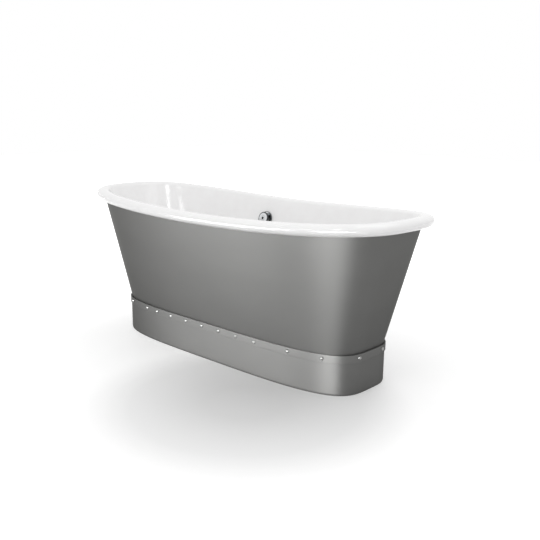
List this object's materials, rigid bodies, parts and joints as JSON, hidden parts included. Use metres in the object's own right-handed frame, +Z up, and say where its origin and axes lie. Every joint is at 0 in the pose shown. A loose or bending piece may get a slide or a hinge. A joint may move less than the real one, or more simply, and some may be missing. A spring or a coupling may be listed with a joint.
{
  "type": "double ended bathtub",
  "caption": "Freestanding double ended cast iron bath with a rolled rim, tapered metal skirt, riveted strap and upright plinth.",
  "frame": {"origin": "on the floor, under the middle of the bath", "axes": "+X along the bath, +Y to its back with the overflow, +Z up"},
  "size_m": [1.6996, 0.6896, 0.6777],
  "materials": {
    "enamelled_iron": "white vitreous enamel, glossy, over cast iron",
    "skirt_finish": "satin warm grey, burnished",
    "plinth_finish": "satin warm grey, burnished",
    "strap_finish": "satin warm grey, burnished",
    "rivet_finish": "polished domes",
    "zinc_steel": "zinc plated",
    "foot_iron": "black painted cast iron",
    "pad_plastic": "black nylon",
    "earth_brass": "turned brass",
    "seal_rubber": "black seal",
    "chrome": "polished chrome",
    "white_plastic": "moulded white plastic",
    "hose_plastic": "grey flexible plastic",
    "cable_black": "black sheath"
  },
  "bodies": {
    "bath": {"bath_casting": "enamelled_iron", "skirt_panel": "skirt_finish", "plinth_band": "plinth_finish", "rivet_strap": "strap_finish", "strap_rivets": "rivet_finish", "skirt_brackets": "zinc_steel", "foot_bolts": "zinc_steel", "lock_nuts": "zinc_steel", "foot_front_left": "foot_iron", "foot_front_right": "foot_iron", "foot_rear_left": "foot_iron", "foot_rear_right": "foot_iron", "earth_tab": "earth_brass", "earth_screw": "earth_brass", "overflow_front_gasket": "seal_rubber", "overflow_rear_gasket": "seal_rubber", "overflow_flange": "chrome", "overflow_drum": "white_plastic", "waste_front_gasket": "seal_rubber", "waste_rear_gasket": "seal_rubber", "waste_flange": "chrome", "waste_body": "white_plastic", "rocker_pin": "zinc_steel", "overflow_hose": "hose_plastic", "hose_clips": "zinc_steel", "control_cable": "cable_black"},
    "knob": {"overflow_knob": "chrome", "knob_screw": "zinc_steel", "overflow_spindle": "earth_brass", "cable_pulley": "white_plastic"},
    "rocker": {"lift_rocker": "white_plastic"},
    "lifter": {"plug_lifter": "earth_brass"},
    "plug": {"waste_plug": "chrome", "plug_seal": "seal_rubber"},
    "leveller_front_left": {"level_screw_front_left": "zinc_steel", "level_pad_front_left": "pad_plastic"},
    "leveller_front_right": {"level_screw_front_right": "zinc_steel", "level_pad_front_right": "pad_plastic"},
    "leveller_rear_left": {"level_screw_rear_left": "zinc_steel", "level_pad_rear_left": "pad_plastic"},
    "leveller_rear_right": {"level_screw_rear_right": "zinc_steel", "level_pad_rear_right": "pad_plastic"}
  },
  "joints": [
    {"name": "knob_turn", "type": "hinge", "parent": "bath", "child": "knob", "pos_m": [-0.116, 0.25652, 0.545], "axis": [0, 0.9613, -0.2757], "range_deg": [0, 90]},
    {"name": "rocker_tilt", "type": "hinge", "parent": "bath", "child": "rocker", "pos_m": [-0.08439, 0, 0.133], "axis": [0, 1, 0], "range_deg": [0, 18.03]},
    {"name": "lifter_slide", "type": "slide", "parent": "bath", "child": "lifter", "axis": [0, 0, 1], "range_m": [0, 0.01005]},
    {"name": "plug_lift_out", "type": "slide", "parent": "lifter", "child": "plug", "axis": [0, 0, 1], "range_m": [0, 0.12]},
    {"name": "level_front_left", "type": "slide", "parent": "bath", "child": "leveller_front_left", "axis": [0, 0, 1], "range_m": [-0.015, 0.012]},
    {"name": "level_front_right", "type": "slide", "parent": "bath", "child": "leveller_front_right", "axis": [0, 0, 1], "range_m": [-0.015, 0.012]},
    {"name": "level_rear_left", "type": "slide", "parent": "bath", "child": "leveller_rear_left", "axis": [0, 0, 1], "range_m": [-0.015, 0.012]},
    {"name": "level_rear_right", "type": "slide", "parent": "bath", "child": "leveller_rear_right", "axis": [0, 0, 1], "range_m": [-0.015, 0.012]}
  ],
  "couplings": [
    {"joint": "rocker_tilt", "follows": "knob_turn", "ratio": 0.19976},
    {"joint": "lifter_slide", "follows": "knob_turn", "m_per_rad": 0.0063662}
  ]
}
